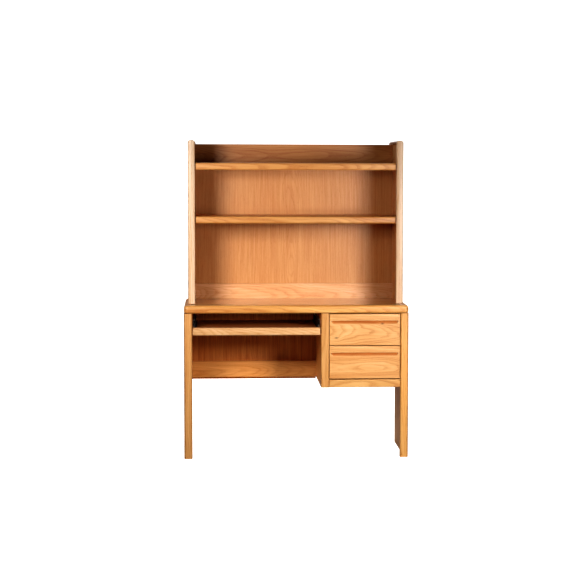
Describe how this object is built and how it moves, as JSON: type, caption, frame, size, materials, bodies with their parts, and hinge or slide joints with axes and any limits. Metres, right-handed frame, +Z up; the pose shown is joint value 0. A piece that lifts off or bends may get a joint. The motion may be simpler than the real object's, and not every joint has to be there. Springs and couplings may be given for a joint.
{
  "type": "desk with bookcase hutch",
  "caption": "Oak student desk with an open bookcase hutch on top, a keyboard tray on slides, and a drawer pedestal on the right.",
  "frame": {"origin": "middle of the object's footprint, on the floor", "axes": "+Z up, -Y to the sitter, +X to the sitter's right, where the drawers are"},
  "size_m": [1.115, 0.4894, 1.579],
  "materials": {
    "oak_solid": "satin clear lacquer on solid oak with the grain along each board",
    "oak_panel": "satin clear lacquer on oak veneer",
    "drawer_wood": "pale sanded hardwood with a thin lacquer",
    "black_steel": "black coated rolled steel",
    "zinc_steel": "zinc plated rolled steel"
  },
  "bodies": {
    "carcass": {"desktop_panel": "oak_panel", "desktop_front_band": "oak_solid", "desktop_left_band": "oak_solid", "desktop_right_band": "oak_solid", "left_front_stile": "oak_solid", "right_front_stile": "oak_solid", "left_side_panel": "oak_panel", "right_side_panel": "oak_panel", "partition_stile": "oak_solid", "partition_panel": "oak_panel", "modesty_panel": "oak_panel", "modesty_rail": "oak_solid", "pedestal_rail": "oak_solid", "pedestal_bottom": "oak_panel", "pedestal_back": "oak_panel", "slide_packing_left": "oak_panel", "slide_packing_right": "oak_panel", "tray_cleat_left": "oak_panel", "tray_cleat_right": "oak_panel", "tray_case_slide_left": "zinc_steel", "tray_case_slide_right": "zinc_steel", "upper_drawer_case_slide_left": "zinc_steel", "upper_drawer_case_slide_right": "zinc_steel", "lower_drawer_case_slide_left": "zinc_steel", "lower_drawer_case_slide_right": "zinc_steel", "hutch_left_stile": "oak_solid", "hutch_right_stile": "oak_solid", "hutch_left_cap": "oak_solid", "hutch_right_cap": "oak_solid", "hutch_left_panel": "oak_panel", "hutch_right_panel": "oak_panel", "top_shelf": "oak_panel", "top_shelf_nosing": "oak_solid", "middle_shelf": "oak_panel", "middle_shelf_nosing": "oak_solid", "gallery_rail": "oak_solid", "hutch_back_panel": "oak_panel", "hutch_lower_rail": "oak_solid", "mending_plate_left": "zinc_steel", "mending_plate_right": "zinc_steel"},
    "keyboard_tray": {"tray_nosing": "oak_solid", "tray_panel": "oak_solid", "tray_bracket_left": "black_steel", "tray_bracket_right": "black_steel"},
    "tray_middle_slides": {"tray_middle_slide_left": "zinc_steel", "tray_middle_slide_right": "zinc_steel"},
    "upper_drawer": {"upper_drawer_front": "oak_solid", "upper_drawer_left_side": "drawer_wood", "upper_drawer_right_side": "drawer_wood", "upper_drawer_back": "drawer_wood", "upper_drawer_bottom": "drawer_wood", "upper_drawer_runner_left": "zinc_steel", "upper_drawer_runner_right": "zinc_steel"},
    "lower_drawer": {"lower_drawer_front": "oak_solid", "lower_drawer_left_side": "drawer_wood", "lower_drawer_right_side": "drawer_wood", "lower_drawer_back": "drawer_wood", "lower_drawer_bottom": "drawer_wood", "lower_drawer_runner_left": "zinc_steel", "lower_drawer_runner_right": "zinc_steel"}
  },
  "joints": [
    {"name": "tray_slide", "type": "slide", "parent": "carcass", "child": "keyboard_tray", "axis": [0, -1, 0], "range_m": [0, 0.3]},
    {"name": "tray_middle_slide", "type": "slide", "parent": "carcass", "child": "tray_middle_slides", "axis": [0, -1, 0], "range_m": [0, 0.15]},
    {"name": "upper_drawer_slide", "type": "slide", "parent": "carcass", "child": "upper_drawer", "axis": [0, -1, 0], "range_m": [0, 0.26]},
    {"name": "lower_drawer_slide", "type": "slide", "parent": "carcass", "child": "lower_drawer", "axis": [0, -1, 0], "range_m": [0, 0.26]}
  ],
  "couplings": [
    {"joint": "tray_middle_slide", "follows": "tray_slide", "ratio": 0.5}
  ]
}
